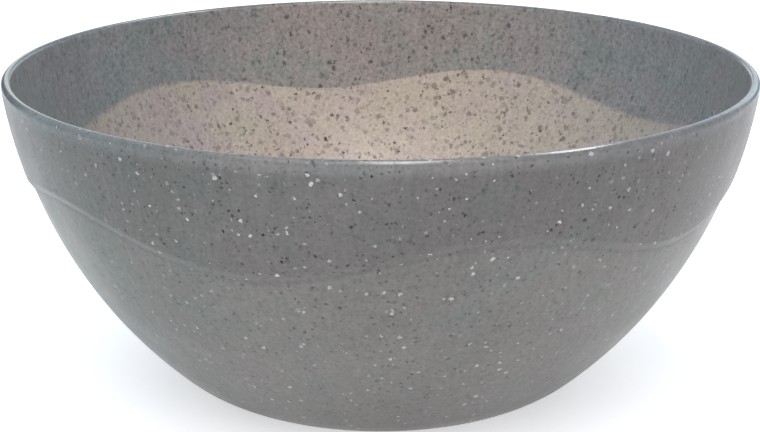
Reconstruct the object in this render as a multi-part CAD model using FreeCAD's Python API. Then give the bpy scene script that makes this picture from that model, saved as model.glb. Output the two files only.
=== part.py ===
import FreeCAD, Part

import math
import os

# A moulded serving bowl in two pieces: the shell, and an outer band with a wavy lower edge.
# The origin is the centre of the base, on the surface that the bowl stands on, with +Z up.
# Lengths are in millimetres and angles in degrees.

# Outline of the shell: the base edge, a tight corner arc, then one long wall arc up to the rim.
# Slopes are measured from the horizontal.
RIM_RADIUS = 125.0
WALL_ARC_RADIUS = 156.0
CORNER_ARC_RADIUS = 41.0
SLOPE_AT_BASE = 23.0
SLOPE_AT_CORNER = 41.5
SLOPE_AT_RIM = 83.5

# Wall thicknesses.
WALL_THICKNESS = 2.2
BAND_THICKNESS = 1.1
FLOOR_THICKNESS = 2.0
FLOOR_FILLET = 9.0

# The lip is the part of the shell that is as thick as the wall and the band together.
LIP_HEIGHT = 3.0
LIP_OUTER_FILLET = 1.7
LIP_INNER_FILLET = 1.3

# Standing ring under the base.
RING_WIDTH = 8.0
RING_HEIGHT = 0.9
RING_OUTER_FILLET = 3.0
RING_INNER_FILLET = 0.5

# The band's lower edge waves up and down round the bowl, and ramps down to the wall.
WAVE_COUNT = 5
WAVE_DEPTH = 32.5
WAVE_AMPLITUDE = 5.9
WAVE_CREST_AZIMUTH = 286.0
RAMP_HEIGHT = 3.6
BAND_EDGE = 0.25

# Construction only. The cuts reach past the wall, which leans inward below the band.
POINTS_PER_WAVE = 12
CUT_INSIDE = 12.0
CUT_OUTSIDE = 1.0
SAME_PLACE = 0.01
ORIGIN = FreeCAD.Vector(0, 0, 0)
UP = FreeCAD.Vector(0, 0, 1)


def section_point(radius, height):
    """A point of the half section, in the XZ plane."""
    return FreeCAD.Vector(radius, 0, height)


class Arc:
    """A round stretch of the half section, and the surfaces that run parallel to it."""

    def __init__(self, centre_radius, centre_height, radius):
        self.centre_radius = centre_radius
        self.centre_height = centre_height
        self.radius = radius

    def at(self, slope, offset=0.0):
        """The point where the wall has this slope, moved outward by the offset."""
        angle = math.radians(slope)
        reach = self.radius + offset
        return section_point(
            self.centre_radius + reach * math.sin(angle),
            self.centre_height - reach * math.cos(angle),
        )

    def edge(self, slope_from, slope_to, offset=0.0):
        """The arc between two slopes, moved outward by the offset."""
        middle = self.at((slope_from + slope_to) / 2, offset)
        return Part.Arc(self.at(slope_from, offset), middle, self.at(slope_to, offset)).toShape()

    def slope_at(self, height, offset=0.0):
        """The slope where the moved arc reaches this height."""
        return math.degrees(math.acos((self.centre_height - height) / (self.radius + offset)))


def outline_arcs():
    """The wall's arc and the corner's arc. The wall's centre is past the axis, above the rim."""
    rim = math.radians(SLOPE_AT_RIM)
    join = math.radians(SLOPE_AT_CORNER)
    foot = math.radians(SLOPE_AT_BASE)
    centre_gap = WALL_ARC_RADIUS - CORNER_ARC_RADIUS
    wall_centre_radius = RIM_RADIUS - (WALL_ARC_RADIUS + BAND_THICKNESS) * math.sin(rim)
    corner_centre_height = CORNER_ARC_RADIUS * math.cos(foot)
    wall_centre_height = corner_centre_height + centre_gap * math.cos(join)
    corner_centre_radius = wall_centre_radius + centre_gap * math.sin(join)
    wall = Arc(wall_centre_radius, wall_centre_height, WALL_ARC_RADIUS)
    corner = Arc(corner_centre_radius, corner_centre_height, CORNER_ARC_RADIUS)
    return wall, corner


WALL, CORNER = outline_arcs()
FOOT = CORNER.at(SLOPE_AT_BASE)
RIM_HEIGHT = WALL.at(SLOPE_AT_RIM).z
LIP_SLOPE = WALL.slope_at(RIM_HEIGHT - LIP_HEIGHT)
FLOOR_HEIGHT = RING_HEIGHT + FLOOR_THICKNESS


def line(start, end):
    return Part.LineSegment(start, end).toShape()


def revolve(edges):
    """The solid that a closed half section sweeps about the bowl's axis."""
    face = Part.Face(Part.Wire(edges))
    return face.revolve(ORIGIN, UP, 360)


def fillet_circle(solid, fillet_radius, place):
    """The solid with its round edge through this section point filleted."""
    edges = []
    for edge in solid.Edges:
        if not isinstance(edge.Curve, Part.Circle):
            continue
        height_gap = abs(edge.Curve.Center.z - place.z)
        radius_gap = abs(edge.Curve.Radius - place.x)
        if max(height_gap, radius_gap) < SAME_PLACE:
            edges.append(edge)
    return solid.makeFillet(fillet_radius, edges)


def floor_arc():
    """The arc that joins the inner wall to the floor, and the slope where it starts."""
    reach = CORNER.radius - WALL_THICKNESS - FLOOR_FILLET
    drop = CORNER.centre_height - FLOOR_HEIGHT - FLOOR_FILLET
    centre_radius = CORNER.centre_radius + math.sqrt(reach ** 2 - drop ** 2)
    slope = math.degrees(math.acos(drop / reach))
    return Arc(centre_radius, FLOOR_HEIGHT + FLOOR_FILLET, FLOOR_FILLET), slope


def bowl_shell():
    """Floor, side wall and lip in one. The band fits under the lip's lower edge."""
    ring_inside = section_point(FOOT.x - RING_WIDTH, 0)
    recess_corner = section_point(ring_inside.x, RING_HEIGHT)
    recess_centre = section_point(0, RING_HEIGHT)
    floor_centre = section_point(0, FLOOR_HEIGHT)
    blend, blend_slope = floor_arc()
    rim_inside_slope = WALL.slope_at(RIM_HEIGHT, -WALL_THICKNESS)
    rim_outside_slope = WALL.slope_at(RIM_HEIGHT, BAND_THICKNESS)
    rim_inside = WALL.at(rim_inside_slope, -WALL_THICKNESS)
    rim_outside = WALL.at(rim_outside_slope, BAND_THICKNESS)
    shell = revolve([
        line(FOOT, ring_inside),
        line(ring_inside, recess_corner),
        line(recess_corner, recess_centre),
        line(recess_centre, floor_centre),
        line(floor_centre, blend.at(0)),
        blend.edge(0, blend_slope),
        CORNER.edge(blend_slope, SLOPE_AT_CORNER, -WALL_THICKNESS),
        WALL.edge(SLOPE_AT_CORNER, rim_inside_slope, -WALL_THICKNESS),
        line(rim_inside, rim_outside),
        WALL.edge(rim_outside_slope, LIP_SLOPE, BAND_THICKNESS),
        line(WALL.at(LIP_SLOPE, BAND_THICKNESS), WALL.at(LIP_SLOPE)),
        WALL.edge(LIP_SLOPE, SLOPE_AT_CORNER),
        CORNER.edge(SLOPE_AT_CORNER, SLOPE_AT_BASE),
    ])
    shell = fillet_circle(shell, LIP_OUTER_FILLET, rim_outside)
    shell = fillet_circle(shell, LIP_INNER_FILLET, rim_inside)
    shell = fillet_circle(shell, RING_OUTER_FILLET, FOOT)
    return fillet_circle(shell, RING_INNER_FILLET, ring_inside)


def wave_curve(offset, rise):
    """A closed wavy curve this far outside the wall, and this far above the ramp's lower end."""
    count = WAVE_COUNT * POINTS_PER_WAVE
    points = []
    for index in range(count):
        azimuth = 2 * math.pi * index / count
        phase = WAVE_COUNT * (azimuth - math.radians(WAVE_CREST_AZIMUTH))
        ramp_foot = RIM_HEIGHT - WAVE_DEPTH - RAMP_HEIGHT / 2 + WAVE_AMPLITUDE * math.cos(phase)
        height = ramp_foot + rise
        radius = WALL.at(WALL.slope_at(height, offset), offset).x
        points.append(FreeCAD.Vector(radius * math.cos(azimuth), radius * math.sin(azimuth), height))
    curve = Part.BSplineCurve()
    curve.interpolate(points, PeriodicFlag=True)
    return curve.toShape()


def cut_below(solid, inner_curve, outer_curve):
    """The solid without what lies under the wavy ribbon between two curves."""
    ribbon = Part.makeRuledSurface(inner_curve, outer_curve)
    return solid.cut(ribbon.extrude(UP * -RIM_HEIGHT))


def wave_band():
    """Ring against the outside of the wall, with a wavy lower edge that ramps down to the wall."""
    lowest = RIM_HEIGHT - WAVE_DEPTH - WAVE_AMPLITUDE - RAMP_HEIGHT
    low_slope = WALL.slope_at(lowest)
    ring = revolve([
        WALL.edge(low_slope, LIP_SLOPE),
        line(WALL.at(LIP_SLOPE), WALL.at(LIP_SLOPE, BAND_THICKNESS)),
        WALL.edge(LIP_SLOPE, low_slope, BAND_THICKNESS),
        line(WALL.at(low_slope, BAND_THICKNESS), WALL.at(low_slope)),
    ])
    ramp_foot = wave_curve(BAND_EDGE, 0)
    steepness = RAMP_HEIGHT / (BAND_THICKNESS - BAND_EDGE)
    past_the_ramp = wave_curve(BAND_THICKNESS + CUT_OUTSIDE, RAMP_HEIGHT + CUT_OUTSIDE * steepness)
    band = cut_below(ring, wave_curve(-CUT_INSIDE, 0), ramp_foot)
    return cut_below(band, ramp_foot, past_the_ramp)


def main():
    os.makedirs("parts", exist_ok=True)
    pieces = {"bowl_shell": bowl_shell(), "wave_band": wave_band()}
    for name, shape in pieces.items():
        shape.exportStep(f"parts/{name}.step")
        print(name, "valid", shape.isValid(), "solids", len(shape.Solids))


main()
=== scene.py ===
import math
from collections import namedtuple

import bpy
import numpy as np
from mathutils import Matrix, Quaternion, Vector


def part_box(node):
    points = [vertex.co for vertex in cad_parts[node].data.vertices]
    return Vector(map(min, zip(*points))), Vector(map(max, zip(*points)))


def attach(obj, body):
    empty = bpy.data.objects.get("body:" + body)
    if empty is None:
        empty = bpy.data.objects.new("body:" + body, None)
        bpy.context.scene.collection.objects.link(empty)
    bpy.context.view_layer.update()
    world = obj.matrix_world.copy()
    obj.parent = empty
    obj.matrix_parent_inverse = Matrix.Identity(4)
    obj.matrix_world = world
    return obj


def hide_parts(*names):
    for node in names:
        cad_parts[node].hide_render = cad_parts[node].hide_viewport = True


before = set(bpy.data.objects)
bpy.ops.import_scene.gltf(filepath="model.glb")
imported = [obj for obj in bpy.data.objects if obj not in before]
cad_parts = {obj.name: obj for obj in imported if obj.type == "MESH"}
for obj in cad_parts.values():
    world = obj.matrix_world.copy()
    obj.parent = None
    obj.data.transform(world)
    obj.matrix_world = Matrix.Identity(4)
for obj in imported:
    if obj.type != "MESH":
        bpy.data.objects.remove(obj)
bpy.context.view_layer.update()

# The bowl stands on the floor, centred on the origin, with +Z up. Lengths are in metres.
RIM_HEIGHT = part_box("bowl_shell")[1].z

# The outline's arcs, as in the CAD model. Slopes are in degrees from the horizontal.
WALL_ARC_RADIUS = 0.156
CORNER_ARC_RADIUS = 0.041
SLOPE_AT_BASE = 23.0
SLOPE_AT_CORNER = 41.5
SLOPE_AT_RIM = 83.5
RIM_RADIUS = 0.125
WALL_THICKNESS = 0.0022
BAND_THICKNESS = 0.0011
FLOOR_HEIGHT = 0.0029
FLOOR_FILLET = 0.009
LIP_HEIGHT = 0.003
LIP_OUTER_FILLET = 0.0017
LIP_INNER_FILLET = 0.0013
RING_WIDTH = 0.008
RING_HEIGHT = 0.0009
RING_OUTER_FILLET = 0.003
RING_INNER_FILLET = 0.0004
SEAM_FILLET = 0.00008

# The band's wavy lower edge.
WAVE_COUNT = 5
WAVE_DEPTH = 0.0325
WAVE_AMPLITUDE = 0.0059
WAVE_CREST = math.radians(286.0)
RAMP_HEIGHT = 0.0040
BAND_SINK = 0.00005

# The line inside the bowl, below which the thinner wall lets light through. It follows the band's
# waves, but they are a little closer together at the back and further apart at the front.
SHADE_DEPTH = 0.0292
SHADE_AMPLITUDE = 0.0040
SHADE_CREST = math.radians(281.24)
SHADE_DRIFT = 0.44

# The mesh: how many sections go round the bowl, how far apart the points of a section are, and
# how many points the rounds and the band's section have.
SEGMENTS = 384
ARC_STEP = 0.002
STRAIGHT_STEP = 0.004
RIM_STEP = 0.0005
LEDGE_STEP = 0.0004
EDGE_STEP = 0.0003
FILLET_POINTS = 7
SEAM_POINTS = 5
BAND_POINTS = 22
RAMP_POINTS = 15
BACK_POINTS = 14

# A fillet drops the points of its runs that are nearer to the corner than this share of its reach.
FILLET_MARGIN = 1.05

# The shell's materials, in the order of its slots.
OUTSIDE, INSIDE, LIP = range(3)


# ---- Outline -------------------------------------------------------------------------------


class Arc:
    """A round stretch of the half section, and the lines that run parallel to it."""

    def __init__(self, centre, radius):
        self.centre = np.array(centre)
        self.radius = radius

    def at(self, slope, offset=0.0):
        """The point, as (radius, height), where the wall has this slope."""
        angle = math.radians(slope)
        return self.centre + (self.radius + offset) * np.array([math.sin(angle), -math.cos(angle)])

    def run(self, slope_from, slope_to, offset=0.0, step=ARC_STEP):
        """Points along the arc, about one step apart."""
        length = abs(math.radians(slope_to - slope_from)) * (self.radius + offset)
        count = max(3, math.ceil(length / step) + 1)
        return [self.at(slope, offset) for slope in np.linspace(slope_from, slope_to, count)]

    def slope_at(self, height, offset=0.0):
        """The slope where the moved arc reaches this height."""
        return np.degrees(np.arccos((self.centre[1] - height) / (self.radius + offset)))


def outline_arcs():
    """The wall's arc and the corner's arc, placed as the CAD model places them."""
    gap = WALL_ARC_RADIUS - CORNER_ARC_RADIUS
    join = math.radians(SLOPE_AT_CORNER)
    reach = (WALL_ARC_RADIUS + BAND_THICKNESS) * math.sin(math.radians(SLOPE_AT_RIM))
    corner_height = CORNER_ARC_RADIUS * math.cos(math.radians(SLOPE_AT_BASE))
    wall = Arc((RIM_RADIUS - reach, corner_height + gap * math.cos(join)), WALL_ARC_RADIUS)
    corner = Arc((wall.centre[0] + gap * math.sin(join), corner_height), CORNER_ARC_RADIUS)
    return wall, corner


WALL, CORNER = outline_arcs()
LIP_SLOPE = WALL.slope_at(RIM_HEIGHT - LIP_HEIGHT)


def floor_arc():
    """The arc that joins the inner wall to the floor, and the slope where it starts."""
    reach = CORNER.radius - WALL_THICKNESS - FLOOR_FILLET
    drop = CORNER.centre[1] - FLOOR_HEIGHT - FLOOR_FILLET
    centre_radius = CORNER.centre[0] + math.sqrt(reach**2 - drop**2)
    blend = Arc((centre_radius, FLOOR_HEIGHT + FLOOR_FILLET), FLOOR_FILLET)
    return blend, math.degrees(math.acos(drop / reach))


def straight(start, end, step=STRAIGHT_STEP):
    """Points along a straight run, about one step apart."""
    count = max(2, math.ceil(np.linalg.norm(np.subtract(end, start)) / step) + 1)
    return list(np.linspace(start, end, count))


def unit(vector):
    return vector / np.linalg.norm(vector)


def fillet_points(before, corner, after, radius):
    """Points of the round that replaces a corner between two directions, and how far back it starts."""
    turn = math.acos(np.clip(before @ after, -1, 1))
    back = radius * math.tan(turn / 2)
    start, end = corner - before * back, corner + after * back
    centre = corner + unit(after - before) * radius / math.cos(turn / 2)
    points = []
    for share in np.linspace(0, 1, FILLET_POINTS):
        middle = start * (1 - share) + end * share
        points.append(centre + unit(middle - centre) * radius)
    return points, back


def join_runs(runs, fillets):
    """One line through runs that meet end to end, with a fillet of the given radius where they meet."""
    path = list(runs[0])
    for run, radius in zip(runs[1:], fillets):
        run = list(run)
        corner = run[0]
        if radius == 0:
            path += run[1:]
            continue
        rounded, back = fillet_points(unit(corner - path[-2]), corner, unit(run[1] - corner), radius)
        clear = back * FILLET_MARGIN
        path = [p for p in path if np.linalg.norm(p - corner) > clear]
        path += rounded
        path += [p for p in run if np.linalg.norm(p - corner) > clear]
    return np.array(path)


def shell_outline():
    """The shell's half section, from the middle of the underside, up the outside and down the inside."""
    foot = CORNER.at(SLOPE_AT_BASE)
    ring_inside = np.array([foot[0] - RING_WIDTH, 0])
    recess_corner = np.array([ring_inside[0], RING_HEIGHT])
    blend, blend_slope = floor_arc()
    rim_outside_slope = WALL.slope_at(RIM_HEIGHT, BAND_THICKNESS)
    rim_inside_slope = WALL.slope_at(RIM_HEIGHT, -WALL_THICKNESS)
    rim_outside = WALL.at(rim_outside_slope, BAND_THICKNESS)
    rim_inside = WALL.at(rim_inside_slope, -WALL_THICKNESS)
    ledge = (WALL.at(LIP_SLOPE), WALL.at(LIP_SLOPE, BAND_THICKNESS))
    runs_and_fillets = [
        (straight((0, RING_HEIGHT), recess_corner), 0),
        (straight(recess_corner, ring_inside, EDGE_STEP), RING_INNER_FILLET),
        (straight(ring_inside, foot), RING_INNER_FILLET),
        (CORNER.run(SLOPE_AT_BASE, SLOPE_AT_CORNER), RING_OUTER_FILLET),
        (WALL.run(SLOPE_AT_CORNER, LIP_SLOPE), 0),
        (straight(*ledge, LEDGE_STEP), SEAM_FILLET),
        (WALL.run(LIP_SLOPE, rim_outside_slope, BAND_THICKNESS, RIM_STEP), SEAM_FILLET),
        (straight(rim_outside, rim_inside, EDGE_STEP), LIP_OUTER_FILLET),
        (WALL.run(rim_inside_slope, SLOPE_AT_CORNER, -WALL_THICKNESS), LIP_INNER_FILLET),
        (CORNER.run(SLOPE_AT_CORNER, blend_slope, -WALL_THICKNESS), 0),
        (blend.run(blend_slope, 0), 0),
        (straight(blend.at(0), (0, FLOOR_HEIGHT)), 0),
    ]
    runs = [run for run, _ in runs_and_fillets]
    fillets = [fillet for _, fillet in runs_and_fillets[1:]]
    return join_runs(runs, fillets)


def band_section(azimuth):
    """The band's closed section at one angle: down the outside, down the ramp, and up the wall."""
    top = WALL.at(LIP_SLOPE)[1]
    seam_foot = top - SEAM_FILLET
    middle = RIM_HEIGHT - WAVE_DEPTH + WAVE_AMPLITUDE * math.cos(WAVE_COUNT * (azimuth - WAVE_CREST))
    ramp_top, ramp_foot = middle + RAMP_HEIGHT / 2, middle - RAMP_HEIGHT / 2
    heights, offsets = [], []
    for turn in np.linspace(math.pi / 2, 0, SEAM_POINTS):
        heights.append(seam_foot + SEAM_FILLET * math.sin(turn))
        offsets.append(BAND_THICKNESS - SEAM_FILLET * (1 - math.cos(turn)))
    for share in np.linspace(0, 1, BAND_POINTS)[1:]:
        heights.append(seam_foot + (ramp_top - seam_foot) * share)
        offsets.append(BAND_THICKNESS)
    for share in np.linspace(0, 1, RAMP_POINTS)[1:]:
        fall = share * share * (3 - 2 * share)
        heights.append(ramp_top - RAMP_HEIGHT * share)
        offsets.append(BAND_THICKNESS * (1 - fall) - BAND_SINK * fall)
    for share in np.linspace(0, 1, BACK_POINTS)[1:]:
        heights.append(ramp_foot + (top - ramp_foot) * share)
        offsets.append(-BAND_SINK)
    radii = [WALL.at(WALL.slope_at(height, offset), offset)[0] for height, offset in zip(heights, offsets)]
    return np.column_stack([radii, heights])


def new_piece(name, corners, faces, slots=None):
    """An object with this mesh. Slots are the faces' material indices."""
    mesh = bpy.data.meshes.new(name)
    mesh.from_pydata([tuple(c) for c in corners], [], faces)
    mesh.shade_smooth()
    if slots is not None:
        mesh.polygons.foreach_set("material_index", slots)
    piece = bpy.data.objects.new(name, mesh)
    bpy.context.scene.collection.objects.link(piece)
    return piece


def around(section, azimuth):
    """Points of a half section turned to this angle round the bowl."""
    radii, heights = section[:, 0], section[:, 1]
    return np.column_stack([radii * math.cos(azimuth), radii * math.sin(azimuth), heights])


def quads_between(first, second, count, closed):
    """Faces between two neighbouring sections, given the index of each one's first point."""
    last = count if closed else count - 1
    faces = []
    for i in range(last):
        j = (i + 1) % count
        faces.append((first + i, second + i, second + j, first + j))
    return faces


def shell_piece():
    """The shell: its half section turned round the axis, closed by a point at each pole."""
    outline = shell_outline()
    section = outline[1:-1]
    count = len(section)
    inside_row = np.nonzero(section[:, 1] > RIM_HEIGHT - LIP_INNER_FILLET / 2)[0][-1]
    lip_row = np.nonzero(section[:, 1] > RIM_HEIGHT - LIP_OUTER_FILLET)[0][0]
    row_slots = [OUTSIDE] * lip_row + [LIP] * (inside_row - lip_row)
    row_slots += [INSIDE] * (count - 1 - inside_row)
    corners, faces, slots = [], [], []
    for index in range(SEGMENTS):
        corners.extend(around(section, 2 * math.pi * index / SEGMENTS))
    under, floor = len(corners), len(corners) + 1
    corners += [(0, 0, outline[0][1]), (0, 0, outline[-1][1])]
    for index in range(SEGMENTS):
        here, there = index * count, (index + 1) % SEGMENTS * count
        faces.append((under, there, here))
        faces += quads_between(here, there, count, closed=False)
        faces.append((floor, here + count - 1, there + count - 1))
        slots += [OUTSIDE, *row_slots, INSIDE]
    return new_piece("bowl_shell_moulding", corners, faces, slots)


def band_piece():
    """The band: a closed section whose lower edge rises and falls as it goes round."""
    corners, faces = [], []
    for index in range(SEGMENTS):
        azimuth = 2 * math.pi * index / SEGMENTS
        section = band_section(azimuth)[::-1]
        corners.extend(around(section, azimuth))
    count = len(corners) // SEGMENTS
    for index in range(SEGMENTS):
        faces += quads_between(index * count, (index + 1) % SEGMENTS * count, count, closed=True)
    return new_piece("wave_band_moulding", corners, faces)


shell = shell_piece()
band = band_piece()
for piece, node, slot in ((shell, "bowl_shell", "shell_plastic"), (band, "wave_band", "band_plastic")):
    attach(piece, "root")
    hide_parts(node)


# ---- Materials -----------------------------------------------------------------------------


def rgb(red, green, blue):
    """A shader colour from sRGB values between 0 and 255."""
    linear = []
    for value in (red, green, blue):
        value /= 255
        linear.append(value / 12.92 if value <= 0.04045 else ((value + 0.055) / 1.055) ** 2.4)
    return (*linear, 1.0)


# The plastic's own colours: pale, deep, warm and cool. The inside's lower zone is paler and warmer
# than the plastic: painted glow of the light that comes through the thinner wall.
OUTSIDE_GREYS = (rgb(114, 112, 109), rgb(108, 106, 103), rgb(113, 109, 107), rgb(107, 109, 106))
INSIDE_LOW_GLOW = (rgb(199, 185, 173), rgb(189, 174, 163), rgb(190, 173, 170), rgb(192, 180, 164))
INSIDE_HIGH = (rgb(157, 151, 147), rgb(149, 143, 140), rgb(156, 145, 144), rgb(143, 145, 141))

# The ranges of a noise's values, both about its middle, that become a whole change of colour,
# roughness or strength.
WIDE_RANGE = (0.3, 0.7)
NARROW_RANGE = (0.35, 0.65)

# The plastic's colour changes slowly from place to place, in a fine grain and in streaks that run
# up the wall. These are the sizes of the noise for each, and how the streaks are drawn out.
SLOW_SIZE = 0.05
GRAIN_SIZE = 0.0012
STREAK_WIDTH = 0.0020
STREAK_STRETCH = (1.0, 1.0, 0.14)

# It also has warm patches where a second noise is high, and cool ones where it is low.
PATCH_SIZE = 0.016
PATCH_SHIFT = (0.3, 0.1, 0.2)
PATCH_STRENGTH = 0.8
WARM_RANGE = (0.48, 0.70)
COOL_RANGE = (0.52, 0.30)

# A layer of specks has its colour, the weakest and strongest cover, the size of the cells that hold
# one speck at most, the smallest and largest radius, the width of the soft edge, and the share of
# the cells that hold one.
Layer = namedtuple("Layer", "colour strengths cell radii edge share")
SOFT_OUTSIDE = Layer(rgb(70, 71, 73), (0.1, 0.6), 0.0025, (0.0004, 0.0012), 0.0008, 0.9)
DARK_OUTSIDE = Layer(rgb(32, 34, 37), (0.1, 0.9), 0.00138, (0.0001, 0.0007), 0.00022, 0.95)
FLAKES = Layer(rgb(204, 202, 198), (0.15, 0.80), 0.0025, (0.0002, 0.0008), 0.0002, 0.70)
SOFT_LOW = Layer(rgb(124, 108, 103), (0.2, 0.8), 0.0024, (0.0006, 0.0016), 0.0006, 0.95)
DARK_LOW = Layer(rgb(62, 54, 55), (0.15, 0.95), 0.0017, (0.0002, 0.00096), 0.00028, 0.95)
SOFT_HIGH = Layer(rgb(86, 87, 90), (0.35, 1.0), 0.0018, (0.0003, 0.0012), 0.0005, 0.95)
DARK_HIGH = Layer(rgb(42, 43, 48), (0.05, 0.75), 0.0013, (0.0001, 0.0007), 0.00025, 0.95)

# The larger this power, the rarer the large specks.
RARITY_POWER = 1.7

# The specks' strength changes from clump to clump. Outside it is lower below the wave than above
# it, and everywhere it falls from 1 in the middle to a lower one at the sides.
CLUMP_SIZE = 0.006
CLUMP_STRENGTHS = (0.75, 1.25)
SPECK_STRENGTHS = (0.65, 1.0)
FLAKE_STRENGTHS = (0.75, 1.1)
SPECKS_AT_SIDES = 0.7
FLAKES_AT_SIDES = 0.4
HIGH_SPECKS_AT_SIDES = 0.5

# Over what distance the noise that makes the specks uneven changes, and how far it pushes. The
# flakes are shifted away from the other specks, and those high up inside are a little taller.
OUTSIDE_WOBBLE = (0.0011, 0.0018)
FLAKE_WOBBLE = (0.0010, 0.0018)
INSIDE_WOBBLE = (0.0011, 0.0026)
FLAKE_SHIFT = (0.5, 0.5, 0.5)
TALL_SPECKS = (1.0, 1.0, 0.8)

# Zones of the outside. The foot's and the low shade's are heights above the floor, the ramp's, the
# band's and the wave's are heights above the wave, and the lip's are above the lip's lower edge.
FOOT_ZONE = (0.0, 0.035)
RAMP_ZONE = (-0.0032, -0.0010)
BAND_ZONE = (0.0008, 0.0035)
LIP_ZONE = (-0.0028, 0.0008)
WAVE_ZONE = (-0.004, 0.004)
LOW_ZONE = (0.035, 0.010)

# How far out from the middle the outside's side tints, which are painted light and shade, start and
# where they are strongest. The painted shades at the sides go by the share of the radius instead.
OUTSIDE_ENDS = (0.030, 0.105)
RAMP_ENDS = (0.070, 0.112)
LEFT_PLACES = (-0.100, -0.020)
LEFT_SHARES = (-0.84, -0.97)
LOW_SHARES = (0.35, 0.80)

# Tints of the outside. Where there are two, they are those of the two ends of a zone.
# The foot's tint is painted shade, the ramp's is painted shade that hides its sheen, darkest at
# the sides, and the lip's is painted sky light and reflection, paler in the middle and bluer
# at the sides. The left's tint is a painted cool reflection and the shades are painted shade.
PLAIN = (1.0, 1.0, 1.0, 1.0)
FOOT_SHADE = (0.88, 0.88, 0.88, 1.0)
BAND_TINT = (0.84, 0.82, 0.84, 1.0)
RAMP_SHADE_TINTS = ((0.82, 0.81, 0.82, 1.0), (0.50, 0.51, 0.52, 1.0))
LIP_SKY_TINTS = ((1.18, 1.18, 1.22, 1.0), (1.00, 1.06, 1.14, 1.0))
LEFT_REFLECTION_TINTS = ((0.88, 0.99, 0.98, 1.0), PLAIN)
LEFT_SHADE = 0.80
LOW_SHADE = 0.82

# How far out from the middle the inside starts to darken and where it is darkest, the tints of its
# two zones there, and how soft the line between them is in the middle and at the sides. The tints
# are painted light and shade: a little warmer in the middle, darker and cooler at the sides.
INSIDE_ENDS = (0.015, 0.110)
INSIDE_LOW_SHADE_TINTS = ((1.03, 1.04, 1.02, 1.0), (0.69, 0.75, 0.79, 1.0))
INSIDE_HIGH_SHADE_TINTS = ((1.05, 1.01, 0.98, 1.0), (0.68, 0.79, 0.86, 1.0))
LINE_SOFTNESS = (0.0003, 0.0012)

# The surface: how large the worn patches are and how much rougher or smoother, and the size of the
# ripples and of the fine texture on them, the texture's share and the ripples' depth.
WEAR_SIZE = 0.018
WEAR = 0.15
RIPPLE_SIZE = 0.0035
TEXTURE_SIZE = 0.0007
TEXTURE_SHARE = 0.12
RIPPLE_DEPTH = 0.00004


class Graph:
    """Adds shader nodes to a material's or a world's tree and joins them up."""

    def __init__(self, tree):
        self.tree = tree
        self.tree.nodes.clear()

    def add(self, kind, inputs=(), output=0, **settings):
        """A node of this kind. Inputs are (socket, value or another node's socket) pairs."""
        node = self.tree.nodes.new("ShaderNode" + kind)
        for key, value in settings.items():
            setattr(node, key, value)
        for socket, value in inputs:
            if isinstance(value, bpy.types.NodeSocket):
                self.tree.links.new(value, node.inputs[socket])
            else:
                node.inputs[socket].default_value = value
        return node.outputs[output] if node.outputs else None

    def maths(self, operation, first, second=0.0, third=0.0):
        return self.add("Math", ((0, first), (1, second), (2, third)), operation=operation)

    def vector(self, operation, first, second):
        return self.add("VectorMath", ((0, first), (1, second)), operation=operation)

    def length(self, vector):
        return self.add("VectorMath", ((0, vector),), output=1, operation="LENGTH")

    def split(self, vector):
        """The vector's X, Y and Z."""
        return self.add("SeparateXYZ", ((0, vector),)).node.outputs

    def linear(self, value, low, high, to_low=0.0, to_high=1.0, curve="LINEAR"):
        """The value's share of the way from low to high, turned into a number between the other two."""
        pairs = ((0, value), (1, low), (2, high), (3, to_low), (4, to_high))
        return self.add("MapRange", pairs, interpolation_type=curve)

    def ramp(self, value, low, high, to_low=0.0, to_high=1.0):
        """A smooth step of the value between low and high."""
        return self.linear(value, low, high, to_low, to_high, curve="SMOOTHSTEP")

    def about_one(self, noise, swing):
        """Noise turned into a number that swings this far to either side of 1."""
        return self.linear(noise, *WIDE_RANGE, 1.0 - swing, 1.0 + swing)

    def from_one(self, share, end):
        """A number that goes from 1 to the end as the share goes from 0 to 1."""
        return self.linear(share, 0.0, 1.0, 1.0, end)

    def mix(self, share, first, second, blend="MIX"):
        """Blends two colours by the share."""
        pairs = ((0, share), (6, first), (7, second))
        return self.add("Mix", pairs, output=2, data_type="RGBA", blend_type=blend)

    def tinted(self, colour, tint):
        return self.mix(1.0, colour, tint, "MULTIPLY")

    def shaded(self, colour, tone):
        """The colour made darker or lighter by a number."""
        return self.tinted(colour, self.add("CombineColor", ((0, tone), (1, tone), (2, tone))))

    def noise(self, place, feature, detail=2.0, roughness=0.5, output=0):
        """Noise whose features are about this many metres across."""
        pairs = (("Vector", place), ("Scale", 1 / feature), ("Detail", detail), ("Roughness", roughness))
        return self.add("TexNoise", pairs, output=output)


def wobble(graph, place, feature, amount):
    """The place, pushed about by noise, so that round specks turn into uneven flakes."""
    push = graph.noise(place, feature, roughness=0.6, output=1)
    centred = graph.vector("SUBTRACT", push, (0.5, 0.5, 0.5))
    moved = graph.vector("MULTIPLY", centred, (amount, amount, amount))
    return graph.vector("ADD", place, moved)


def specks(graph, place, layer):
    """How far the surface is inside one of a layer's specks, from 0 to 1, and a random number for it."""
    distance = graph.add("TexVoronoi", (("Vector", place), ("Scale", 1 / layer.cell)))
    parts = graph.add("SeparateColor", ((0, distance.node.outputs["Color"]),)).node
    chance, size, tone = parts.outputs
    grown = graph.maths("POWER", size, RARITY_POWER)
    smallest, largest = layer.radii
    radius = graph.linear(grown, 0.0, 1.0, smallest / layer.cell, largest / layer.cell)
    depth = graph.maths("SUBTRACT", radius, distance)
    inside = graph.ramp(depth, 0.0, layer.edge / layer.cell)
    present = graph.maths("LESS_THAN", chance, layer.share)
    return graph.maths("MULTIPLY", inside, present), tone


def speckle(graph, colour, layer, place, fade):
    """The colour with a layer of specks over it, all weaker where fade is low."""
    inside, tone = specks(graph, place, layer)
    strength = graph.maths("MULTIPLY", graph.linear(tone, 0.0, 1.0, *layer.strengths), fade)
    return graph.mix(graph.maths("MULTIPLY", inside, strength), colour, layer.colour)


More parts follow.
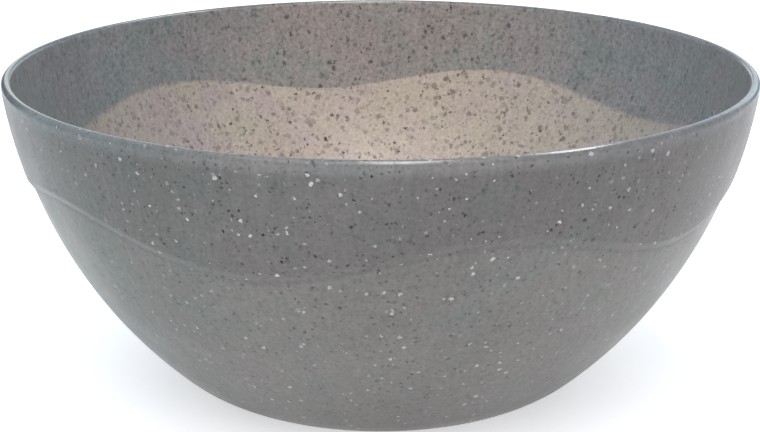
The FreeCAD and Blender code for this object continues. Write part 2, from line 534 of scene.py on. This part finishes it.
def ground_colour(graph, place, colours, grain, streak):
    """The plastic's own colour: slow changes, warmer and cooler patches, fine grain, flow streaks."""
    pale, deep, warm, cool = colours
    colour = graph.mix(graph.ramp(graph.noise(place, SLOW_SIZE), *NARROW_RANGE), pale, deep)
    patches = graph.noise(graph.vector("ADD", place, PATCH_SHIFT), PATCH_SIZE, detail=3.0)
    colour = graph.mix(graph.ramp(patches, *WARM_RANGE, 0.0, PATCH_STRENGTH), colour, warm)
    colour = graph.mix(graph.ramp(patches, *COOL_RANGE, 0.0, PATCH_STRENGTH), colour, cool)
    fine = graph.noise(place, GRAIN_SIZE, detail=3.0)
    streaks = graph.noise(graph.vector("MULTIPLY", place, STREAK_STRETCH), STREAK_WIDTH)
    tone = graph.maths("MULTIPLY", graph.about_one(fine, grain), graph.about_one(streaks, streak))
    return graph.shaded(colour, tone)


def height_above_wave(graph, place, depth, amplitude, crest, drift=0.0):
    """How far a place is above a wavy line round the bowl."""
    across, along, height = graph.split(place)
    azimuth = graph.maths("ARCTAN2", along, across)
    phase = graph.maths("MULTIPLY_ADD", azimuth, WAVE_COUNT, -WAVE_COUNT * crest)
    phase = graph.maths("MULTIPLY_ADD", graph.maths("COSINE", azimuth), -drift, phase)
    line = graph.maths("MULTIPLY_ADD", graph.maths("COSINE", phase), amplitude, RIM_HEIGHT - depth)
    return graph.maths("SUBTRACT", height, line)


def clumps(graph, place):
    """How strong the specks are, which changes a little from place to place."""
    return graph.linear(graph.noise(place, CLUMP_SIZE), *NARROW_RANGE, *CLUMP_STRENGTHS)


def zone_tint(graph, off_centre, ends, height, above_wave):
    """The outside's tint by height: the foot, the wall, the band's ramp, the band and the lip. The foot
    and the ramp get painted shade, and the lip painted sky light and reflection.
    """
    tint = graph.mix(graph.ramp(height, *FOOT_ZONE), FOOT_SHADE, PLAIN)
    ramp_shade = graph.mix(graph.ramp(off_centre, *RAMP_ENDS), *RAMP_SHADE_TINTS)
    tint = graph.mix(graph.ramp(above_wave, *RAMP_ZONE), tint, ramp_shade)
    tint = graph.mix(graph.ramp(above_wave, *BAND_ZONE), tint, BAND_TINT)
    above_ledge = graph.maths("SUBTRACT", height, RIM_HEIGHT - LIP_HEIGHT)
    return graph.mix(graph.ramp(above_ledge, *LIP_ZONE), tint, graph.mix(ends, *LIP_SKY_TINTS))


def side_shades(graph, colour, place, across, height):
    """The colour, with a painted cool reflection on the left, and painted shade at the far left and at the
    sides of the foot.
    """
    colour = graph.tinted(colour, graph.mix(graph.ramp(across, *LEFT_PLACES), *LEFT_REFLECTION_TINTS))
    radius = graph.length(graph.vector("MULTIPLY", place, (1.0, 1.0, 0.0)))
    sideways = graph.maths("DIVIDE", across, radius)
    colour = graph.shaded(colour, graph.ramp(sideways, *LEFT_SHARES, 1.0, LEFT_SHADE))
    low_sides = graph.ramp(graph.maths("ABSOLUTE", sideways), *LOW_SHARES)
    low_sides = graph.maths("MULTIPLY", low_sides, graph.ramp(height, *LOW_ZONE))
    return graph.shaded(colour, graph.from_one(low_sides, LOW_SHADE))


def outside_paint(graph, place):
    """The outside: grey, darker where the band lies on the wall, with off-white and dark flakes."""
    across, _, height = graph.split(place)
    off_centre = graph.maths("ABSOLUTE", across)
    ends = graph.ramp(off_centre, *OUTSIDE_ENDS)
    above_wave = height_above_wave(graph, place, WAVE_DEPTH, WAVE_AMPLITUDE, WAVE_CREST)
    colour = ground_colour(graph, place, OUTSIDE_GREYS, grain=0.12, streak=0.07)
    # Painted light and shade: a darker foot and ramp, a paler, bluer lip, a cooler, darker left side and
    # darker sides of the foot.
    colour = graph.tinted(colour, zone_tint(graph, off_centre, ends, height, above_wave))
    colour = side_shades(graph, colour, place, across, height)

    fade = graph.maths("MULTIPLY", clumps(graph, place), graph.from_one(ends, SPECKS_AT_SIDES))
    fade = graph.maths("MULTIPLY", fade, graph.ramp(above_wave, *WAVE_ZONE, *SPECK_STRENGTHS))
    uneven = wobble(graph, place, *OUTSIDE_WOBBLE)
    colour = speckle(graph, colour, SOFT_OUTSIDE, uneven, fade)
    colour = speckle(graph, colour, DARK_OUTSIDE, uneven, fade)

    uneven = wobble(graph, graph.vector("ADD", place, FLAKE_SHIFT), *FLAKE_WOBBLE)
    fade = graph.ramp(above_wave, *WAVE_ZONE, *FLAKE_STRENGTHS)
    fade = graph.maths("MULTIPLY", fade, graph.from_one(ends, FLAKES_AT_SIDES))
    return speckle(graph, colour, FLAKES, uneven, fade)


def inside_paint(graph, place):
    """The inside: a pale warm zone below, the painted glow of light through the thinner wall, and a darker
    grey zone above, parted by a wavy line.
    """
    ends = graph.ramp(graph.maths("ABSOLUTE", graph.split(place)[0]), *INSIDE_ENDS)
    uneven = wobble(graph, place, *INSIDE_WOBBLE)
    fade = clumps(graph, place)

    # The lower zone's pale warm colour is painted glow of light through the thinner wall.
    low = ground_colour(graph, place, INSIDE_LOW_GLOW, grain=0.14, streak=0.05)
    low_fade = graph.maths("MULTIPLY", graph.from_one(ends, SPECKS_AT_SIDES), fade)
    low = speckle(graph, low, SOFT_LOW, uneven, low_fade)
    low = speckle(graph, low, DARK_LOW, uneven, low_fade)
    # Painted shade: the lower zone is darker and cooler towards the sides.
    low = graph.tinted(low, graph.mix(ends, *INSIDE_LOW_SHADE_TINTS))

    high = ground_colour(graph, place, INSIDE_HIGH, grain=0.21, streak=0.09)
    high_fade = graph.maths("MULTIPLY", graph.from_one(ends, HIGH_SPECKS_AT_SIDES), fade)
    tall = graph.vector("MULTIPLY", uneven, TALL_SPECKS)
    high = speckle(graph, high, SOFT_HIGH, tall, high_fade)
    high = speckle(graph, high, DARK_HIGH, tall, high_fade)
    # Painted shade: the upper zone is darker and cooler towards the sides.
    high = graph.tinted(high, graph.mix(ends, *INSIDE_HIGH_SHADE_TINTS))

    above = height_above_wave(graph, place, SHADE_DEPTH, SHADE_AMPLITUDE, SHADE_CREST, SHADE_DRIFT)
    spread = graph.linear(ends, 0.0, 1.0, *LINE_SOFTNESS)
    return graph.mix(graph.ramp(above, graph.maths("MULTIPLY", spread, -1.0), spread), low, high)


def plastic(name, paint, roughness, gloss):
    """Moulded plastic with a satin surface: the paint sets its colour, and faint ripples its shine."""
    material = bpy.data.materials.new(name)
    material.use_nodes = True
    graph = Graph(material.node_tree)
    place = graph.add("TexCoord", output=3)
    colour = paint(graph, place)
    wear = graph.noise(place, WEAR_SIZE, detail=4.0, roughness=0.6)
    rough = graph.linear(wear, *WIDE_RANGE, (1 - WEAR) * roughness, (1 + WEAR) * roughness)
    ripples = graph.noise(place, RIPPLE_SIZE)
    texture = graph.noise(place, TEXTURE_SIZE, detail=1.0)
    height = graph.maths("MULTIPLY_ADD", texture, TEXTURE_SHARE, ripples)
    bump = graph.add("Bump", (("Height", height), ("Strength", 1.0), ("Distance", RIPPLE_DEPTH)))
    pairs = (("Base Color", colour), ("Roughness", rough), ("Normal", bump), ("IOR", gloss))
    shader = graph.add("BsdfPrincipled", pairs)
    graph.add("OutputMaterial", ((0, shader),))
    return material


# The shell's come in the order of its slots. The gloss is the index of refraction.
shell.data.materials.append(plastic("shell_outside", outside_paint, roughness=0.34, gloss=1.27))
shell.data.materials.append(plastic("shell_inside", inside_paint, roughness=0.30, gloss=1.45))
shell.data.materials.append(plastic("shell_lip", outside_paint, roughness=0.14, gloss=1.42))
band.data.materials.append(plastic("band_outside", outside_paint, roughness=0.34, gloss=1.27))


# ---- Scene ---------------------------------------------------------------------------------

FLOOR_HALF = 4.0
FLOOR_GLOW = 0.56
FLOOR_CLOUDS = 0.25
NEAR_FLOOR = (rgb(250, 250, 250), rgb(246, 246, 247))
FAR_FLOOR = (0.22, 0.27, 0.34, 1.0)
FAR_ZONE = (1.2, 2.0)

# The horizon's colours at the left and at the right, and the sky above it. Zones of directions are
# given by their sideways and upward parts.
HORIZON = ((1.00, 1.05, 1.02, 1.0), (1.07, 1.05, 1.01, 1.0))
HORIZON_ZONE = (-0.8, 0.8)
SKY = (0.54, 0.58, 0.65, 1.0)
SKY_ZONE = (0.02, 0.30)

# Soft round patches of the sky, which the plastic's sheen shows at the sides. Each has its colour,
# azimuth and elevation, and the angles where it starts to fade and where it ends, in degrees.
SKY_PATCHES = (
    ((0.80, 0.95, 1.15, 1.0), 140, 42, 15, 35),
    ((0.80, 1.00, 1.20, 1.0), 62, 28, 8, 20),
    ((0.10, 0.14, 0.20, 1.0), 122, 6, 10, 22),
    ((0.28, 0.45, 0.60, 1.0), 60, 2, 6, 14),
    ((1.50, 1.55, 1.60, 1.0), 100, 10, 4, 10),
    ((1.20, 1.40, 1.55, 1.0), 77, 11, 4, 10),
    ((1.60, 1.95, 2.20, 1.0), 64, 17, 4, 12),
)

WHITE_LIGHT = (1.0, 1.0, 1.0)
WARM_LIGHT = (1.0, 0.97, 0.93)
KEY_LIGHT = (1.0, 0.95, 0.89)

CAMERA_PLACE = (0, -0.6074, 0.2359)
CAMERA_TARGET = (0, 0, 0.0503)
CAMERA_LENS = 87.71
CAMERA_SHIFT = (-0.00077, 0.01172)


def floor_paint(graph, place):
    """Nearly white round the bowl, and darker far away, as at the end of a studio sweep: the far floor's
    darker, bluer colour is painted shade, which the rim's shine shows.
    """
    near = graph.mix(graph.noise(place, FLOOR_CLOUDS), *NEAR_FLOOR)
    return graph.mix(graph.ramp(graph.length(place), *FAR_ZONE), near, FAR_FLOOR)


def floor_piece():
    """The plain pale floor, which glows a little so that it stays pale round the bowl."""
    half = FLOOR_HALF
    corners = [(-half, -half, 0), (half, -half, 0), (half, half, 0), (-half, half, 0)]
    piece = new_piece("studio_floor", corners, [(0, 1, 2, 3)])
    material = plastic("studio_floor", floor_paint, roughness=0.8, gloss=1.3)
    shader = material.node_tree.nodes["Principled BSDF"]
    colour = shader.inputs["Base Color"].links[0].from_socket
    material.node_tree.links.new(colour, shader.inputs["Emission Color"])
    shader.inputs["Emission Strength"].default_value = FLOOR_GLOW
    piece.data.materials.append(material)
    return piece


def lobe(graph, direction, azimuth, elevation, inner, outer):
    """A soft round patch of the sky: 1 within the inner angle, 0 beyond the outer one. In degrees."""
    turn, rise = math.radians(azimuth), math.radians(elevation)
    towards = (math.cos(rise) * math.cos(turn), math.cos(rise) * math.sin(turn), math.sin(rise))
    pairs = ((0, direction), (1, towards))
    facing = graph.add("VectorMath", pairs, output=1, operation="DOT_PRODUCT")
    return graph.ramp(facing, math.cos(math.radians(outer)), math.cos(math.radians(inner)))


def world_light():
    """A pale studio: white all round near the floor, and cooler and dimmer higher up."""
    world = bpy.data.worlds.new("studio")
    world.use_nodes = True
    graph = Graph(world.node_tree)
    direction = graph.add("TexCoord")
    across, _, height = graph.split(direction)
    horizon = graph.mix(graph.linear(across, *HORIZON_ZONE), *HORIZON)
    colour = graph.mix(graph.ramp(height, *SKY_ZONE), horizon, SKY)
    for patch_colour, *patch in SKY_PATCHES:
        colour = graph.mix(lobe(graph, direction, *patch), colour, patch_colour)
    light = graph.add("Background", ((0, colour), (1, 1.0)))
    graph.add("OutputWorld", ((0, light),))
    bpy.context.scene.world = world


def softbox(name, place, target, size, power, colour=WHITE_LIGHT, roll=0, lights=True, shines=True):
    """
    A rectangular lamp at a place, turned towards a target and rolled about that line, in degrees.
    It lights the scene, shows in the plastic's shine, or both.
    """
    lamp = bpy.data.lights.new(name, "AREA")
    lamp.shape = "RECTANGLE"
    lamp.size, lamp.size_y = size
    lamp.energy = power
    lamp.color = colour
    holder = bpy.data.objects.new(name, lamp)
    bpy.context.scene.collection.objects.link(holder)
    holder.location = place
    facing = (Vector(target) - Vector(place)).to_track_quat("-Z", "Y")
    holder.rotation_euler = (facing @ Quaternion((0, 0, 1), math.radians(roll))).to_euler()
    holder.visible_camera = False
    holder.visible_diffuse = lights
    holder.visible_glossy = shines


def studio_lamps():
    """The key lights the front and the fill the inside. The rest only shine along the rim."""
    above_fill, above_strip = (0.07, 0.10), (0.072, -0.29)
    softbox("key", (-0.05, -0.60, 1.20), (0, 0, 0.05), (1.4, 1.0), 8.0, KEY_LIGHT)
    softbox("fill", (*above_fill, 1.25), (*above_fill, 0), (0.20, 1.2), 4.2, WARM_LIGHT, shines=False)
    softbox("strip", (*above_strip, 1.15), (*above_strip, 0), (0.24, 1.13), 9.2, WARM_LIGHT, lights=False)
    window, window_target = (0.569, 0.546, 1.303), (0.202, -0.382, 0.304)
    softbox("window", window, window_target, (0.20, 0.95), 8.4, roll=44, lights=False)
    window_top, top_target = (0.724, 0.160, 1.306), (0.055, -0.110, 0.106)
    softbox("window_top", window_top, top_target, (0.24, 0.20), 2.3, lights=False)


def aim_camera():
    """The camera, at the photo's angle."""
    lens = bpy.data.cameras.new("camera")
    lens.lens = CAMERA_LENS
    lens.sensor_width = 36.0
    lens.shift_x, lens.shift_y = CAMERA_SHIFT
    lens.clip_start = 0.01
    camera = bpy.data.objects.new("camera", lens)
    bpy.context.scene.collection.objects.link(camera)
    camera.location = CAMERA_PLACE
    ahead = Vector(CAMERA_TARGET) - Vector(CAMERA_PLACE)
    camera.rotation_euler = ahead.to_track_quat("-Z", "Y").to_euler()
    bpy.context.scene.camera = camera


floor_piece()
world_light()
studio_lamps()
aim_camera()
bpy.context.scene.view_settings.view_transform = "Standard"
